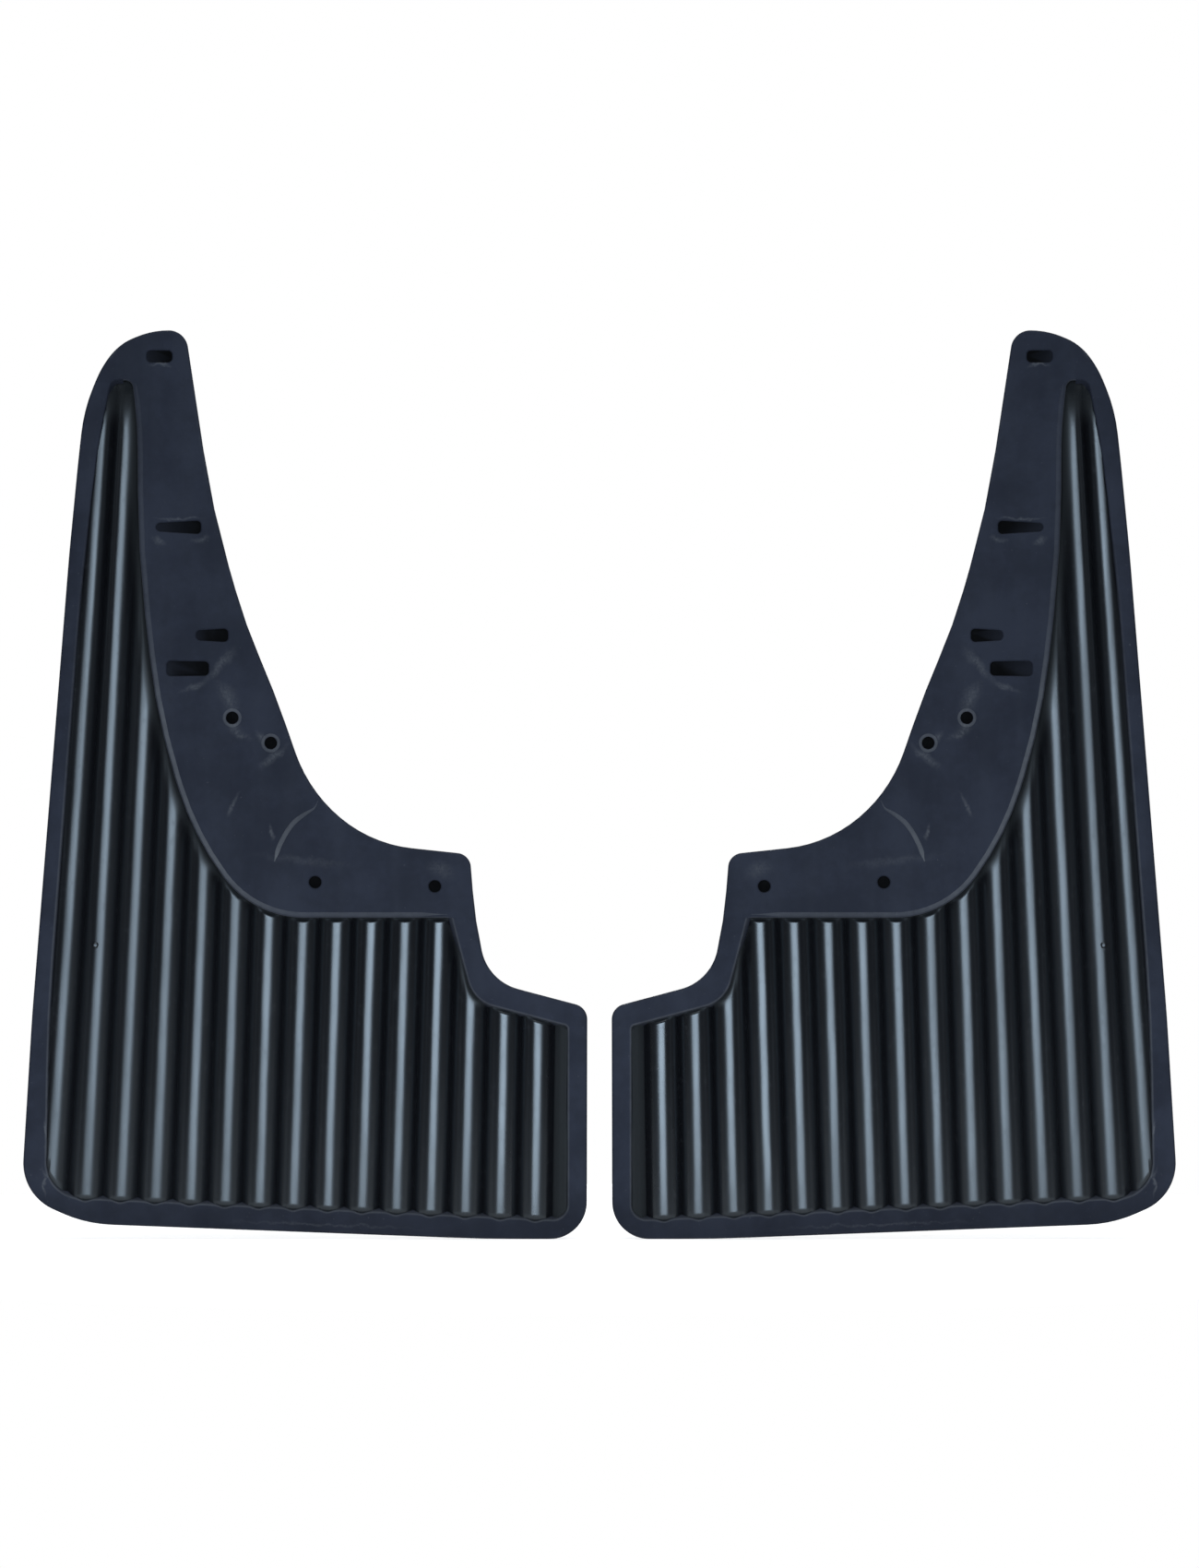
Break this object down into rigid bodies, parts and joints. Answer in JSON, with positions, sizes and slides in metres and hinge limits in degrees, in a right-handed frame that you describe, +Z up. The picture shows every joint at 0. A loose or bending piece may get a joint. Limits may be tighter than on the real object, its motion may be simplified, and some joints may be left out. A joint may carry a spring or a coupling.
{
  "type": "mud flap pair",
  "caption": "Handed pair of rubber mud flaps: ribbed panels with raised rims, hung from mounting flanges with knock-out slots, each bending along a level line below its flange.",
  "frame": {"origin": "midway between the two flaps, level with their bottom edges, at the middle of the depth", "axes": "+X from the left flap to the right one, -Y out of the ribbed face, +Z up as the flaps hang on the vehicle"},
  "size_m": [0.6244, 0.01, 0.4922],
  "materials": {
    "flange": "satin charcoal, scuffed",
    "ribs": "glossy black",
    "rim": "satin charcoal"
  },
  "bodies": {
    "left_mount": {"left_mounting_flange": "flange", "left_ribbed_panel_upper": "ribs", "left_outer_rim_upper": "rim"},
    "left_lower_flap": {"left_ribbed_panel_lower": "ribs", "left_outer_rim_lower": "rim", "left_bottom_rim": "rim", "left_inner_rim": "rim", "left_step_rim": "rim"},
    "right_mount": {"right_mounting_flange": "flange", "right_ribbed_panel_upper": "ribs", "right_outer_rim_upper": "rim"},
    "right_lower_flap": {"right_ribbed_panel_lower": "ribs", "right_outer_rim_lower": "rim", "right_bottom_rim": "rim", "right_inner_rim": "rim", "right_step_rim": "rim"}
  },
  "joints": [
    {"name": "left_flap_bend", "type": "hinge", "parent": "left_mount", "child": "left_lower_flap", "pos_m": [-0.15, 0.0005, 0.169], "axis": [1, 0, 0], "range_deg": [-30, 45], "stiffness_Nm_per_rad": 1.8},
    {"name": "right_flap_lift_off", "type": "slide", "parent": "left_mount", "child": "right_mount", "axis": [0, -1, 0], "range_m": [0, 0.1]},
    {"name": "right_flap_bend", "type": "hinge", "parent": "right_mount", "child": "right_lower_flap", "pos_m": [0.15, 0.0005, 0.169], "axis": [1, 0, 0], "range_deg": [-30, 45], "stiffness_Nm_per_rad": 1.8}
  ]
}
